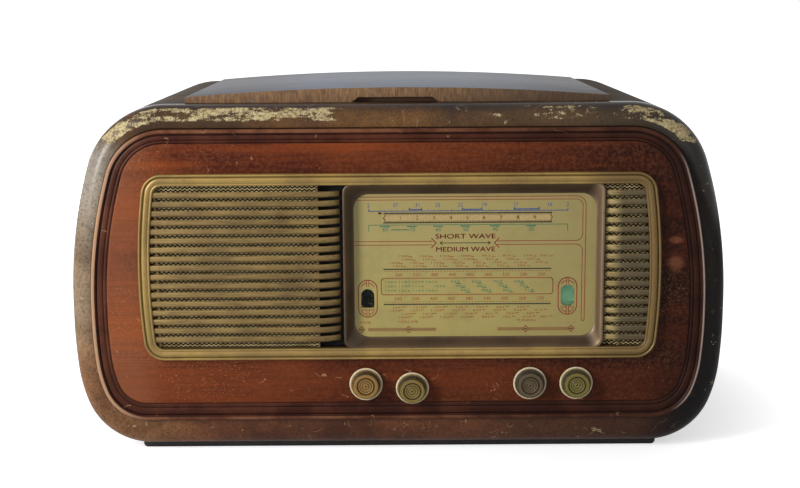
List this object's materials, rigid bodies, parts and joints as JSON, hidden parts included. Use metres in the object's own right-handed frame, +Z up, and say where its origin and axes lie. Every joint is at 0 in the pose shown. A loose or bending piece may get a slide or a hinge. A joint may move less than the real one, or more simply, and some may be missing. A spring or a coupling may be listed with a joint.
{
  "type": "radio receiver",
  "caption": "Table valve radio in a bowed wooden cabinet: gilt louvred front, glass tuning scale with cord drive, knobs, loudspeaker and a record player under the hinged lid.",
  "frame": {"origin": "centre of the bounding box seen from above, at the underside of the runners", "axes": "+X to the right of a person facing the front, +Y from the front to the back, +Z up"},
  "size_m": [0.65, 0.4228, 0.3645],
  "materials": {
    "cabinet_veneer": "worn polished veneer, pale and greyed on top",
    "front_veneer": "reddish polished veneer, satin",
    "lid_wood": "greyed lacquer, raw brown edge",
    "inner_wood": "bare plywood, matt",
    "black_wood": "black paint, matt",
    "fibreboard": "pressed board, matt",
    "gilt_metal": "tarnished gilt lacquer, satin",
    "brass": "dull brass",
    "scale_glass": "glass printed green and cream on its back",
    "cream_sheet": "cream paint, matt",
    "plated_steel": "zinc plated, dull",
    "chassis_sheet": "cadmium grey, matt",
    "black_metal": "black lacquer, matt",
    "aluminium": "dull aluminium",
    "valve_glass": "clear glass, darkened inside",
    "bakelite": "dark bakelite, gloss",
    "knob_plastic": "yellowed ivory plastic, worn",
    "brown_laminate": "paper laminate, satin",
    "cone_paper": "felted paper, matt",
    "cord": "twisted cord, matt",
    "rubber": "aged rubber, matt",
    "mat_flock": "brown rubber, matt",
    "red_paint": "red paint, satin",
    "dark_flag": "black paint, matt",
    "green_flag": "turquoise paint, matt",
    "brown_enamel": "brown enamel, satin",
    "lamp": "lamp glass in a plated holder"
  },
  "bodies": {
    "cabinet": {"cabinet_shell": "cabinet_veneer", "front_rim": "cabinet_veneer", "front_panel": "front_veneer", "base_runners": "black_wood", "well_frame": "inner_wood", "deck_board": "front_veneer", "wood_screws": "brass", "back_cover": "fibreboard", "escutcheon": "gilt_metal", "left_grille": "gilt_metal", "right_grille": "gilt_metal", "grille_mesh": "brass", "dial_glass": "scale_glass", "dial_backplate": "cream_sheet", "dial_lamps": "lamp", "pointer_rail": "plated_steel", "chassis": "chassis_sheet", "machine_bolts": "plated_steel", "power_transformer": "black_metal", "output_transformer": "black_metal", "valve_bases": "bakelite", "valve_envelopes": "valve_glass", "chassis_cans": "aluminium", "tuning_capacitor_frame": "plated_steel", "speaker_frame": "black_metal", "speaker_cone": "cone_paper", "speaker_magnet": "black_metal", "tone_control": "plated_steel", "volume_control": "plated_steel", "band_switch": "brown_laminate", "tuning_bush": "brass", "terminal_plate": "brown_laminate", "mains_grommet": "rubber", "turntable_motor": "brown_enamel", "arm_supports": "brown_enamel", "hinge_fixed_leaves": "brass", "dial_cords": "cord"},
    "lid": {"lid_board": "lid_wood", "hinge_moving_leaves": "brass"},
    "turntable": {"platter": "aluminium", "platter_mat": "mat_flock", "spindle": "plated_steel"},
    "arm_post": {"arm_swivel": "brown_enamel"},
    "pickup_arm": {"tonearm": "brown_enamel", "pickup_head": "bakelite"},
    "tone_spindle": {"tone_knob": "knob_plastic", "tone_shaft": "plated_steel"},
    "tone_indicator": {"tone_flag": "dark_flag"},
    "volume_spindle": {"volume_knob": "knob_plastic", "volume_shaft": "plated_steel"},
    "tuning_spindle": {"tuning_knob": "knob_plastic", "tuning_shaft": "plated_steel"},
    "scale_pointer": {"pointer": "red_paint"},
    "drum_and_rotor": {"tuning_rotor": "aluminium"},
    "cord_idler_left": {"idler_left": "brass"},
    "cord_idler_right": {"idler_right": "brass"},
    "band_spindle": {"band_knob": "knob_plastic", "band_shaft": "plated_steel"},
    "band_indicator": {"band_flag": "green_flag"},
    "voltage_selector": {"voltage_plug": "bakelite"}
  },
  "joints": [
    {"name": "lid_open", "type": "hinge", "parent": "cabinet", "child": "lid", "pos_m": [0, 0.14641, 0.3532], "axis": [-1, 0, 0], "range_deg": [0, 100]},
    {"name": "turntable_spin", "type": "hinge", "parent": "cabinet", "child": "turntable", "pos_m": [-0.045, -0.0146, 0.269], "axis": [0, 0, -1], "continuous": true},
    {"name": "arm_swing", "type": "hinge", "parent": "cabinet", "child": "arm_post", "pos_m": [0.15, 0.0884, 0.269], "axis": [0, 0, -1], "range_deg": [0, 48]},
    {"name": "arm_lift", "type": "hinge", "parent": "arm_post", "child": "pickup_arm", "pos_m": [0.15, 0.0884, 0.307], "axis": [-1, 0, 0], "range_deg": [0, 8]},
    {"name": "tone_turn", "type": "hinge", "parent": "cabinet", "child": "tone_spindle", "pos_m": [-0.0327, -0.1766, 0.073], "axis": [0, 1, 0], "range_deg": [0, 270]},
    {"name": "tone_flag_turn", "type": "hinge", "parent": "cabinet", "child": "tone_indicator", "pos_m": [-0.0303, -0.1766, 0.143], "axis": [0, 1, 0], "range_deg": [0, 270]},
    {"name": "volume_turn", "type": "hinge", "parent": "cabinet", "child": "volume_spindle", "pos_m": [0.0133, -0.1466, 0.073], "axis": [0, 0.9966, 0.0819], "range_deg": [0, 270]},
    {"name": "tuning_turn", "type": "hinge", "parent": "cabinet", "child": "tuning_spindle", "pos_m": [0.1301, -0.1766, 0.073], "axis": [0, 1, 0], "range_deg": [0, 3015]},
    {"name": "pointer_slide", "type": "slide", "parent": "cabinet", "child": "scale_pointer", "axis": [1, 0, 0], "range_m": [0, 0.2105]},
    {"name": "rotor_turn", "type": "hinge", "parent": "cabinet", "child": "drum_and_rotor", "pos_m": [0.0717, -0.1766, 0.121], "axis": [0, 1, 0], "range_deg": [0, 180]},
    {"name": "idler_left_turn", "type": "hinge", "parent": "cabinet", "child": "cord_idler_left", "pos_m": [-0.0532, -0.1766, 0.259], "axis": [0, 1, 0], "range_deg": [0, 2412]},
    {"name": "idler_right_turn", "type": "hinge", "parent": "cabinet", "child": "cord_idler_right", "pos_m": [0.2044, -0.1766, 0.259], "axis": [0, 1, 0], "range_deg": [0, 2412]},
    {"name": "band_turn", "type": "hinge", "parent": "cabinet", "child": "band_spindle", "pos_m": [0.1761, -0.1766, 0.073], "axis": [0, 1, 0], "range_deg": [0, 90]},
    {"name": "band_flag_turn", "type": "hinge", "parent": "cabinet", "child": "band_indicator", "pos_m": [0.1683, -0.1766, 0.145], "axis": [0, 1, 0], "range_deg": [0, 90]},
    {"name": "voltage_turn", "type": "hinge", "parent": "cabinet", "child": "voltage_selector", "pos_m": [0.105, 0.20741, 0.082], "axis": [0, -1, 0], "range_deg": [0, 240]}
  ],
  "couplings": [
    {"joint": "tone_flag_turn", "follows": "tone_turn", "ratio": 1},
    {"joint": "pointer_slide", "follows": "tuning_turn", "m_per_rad": 0.004},
    {"joint": "rotor_turn", "follows": "tuning_turn", "ratio": 0.059701},
    {"joint": "idler_left_turn", "follows": "tuning_turn", "ratio": 0.8},
    {"joint": "idler_right_turn", "follows": "tuning_turn", "ratio": 0.8},
    {"joint": "band_flag_turn", "follows": "band_turn", "ratio": 1}
  ]
}
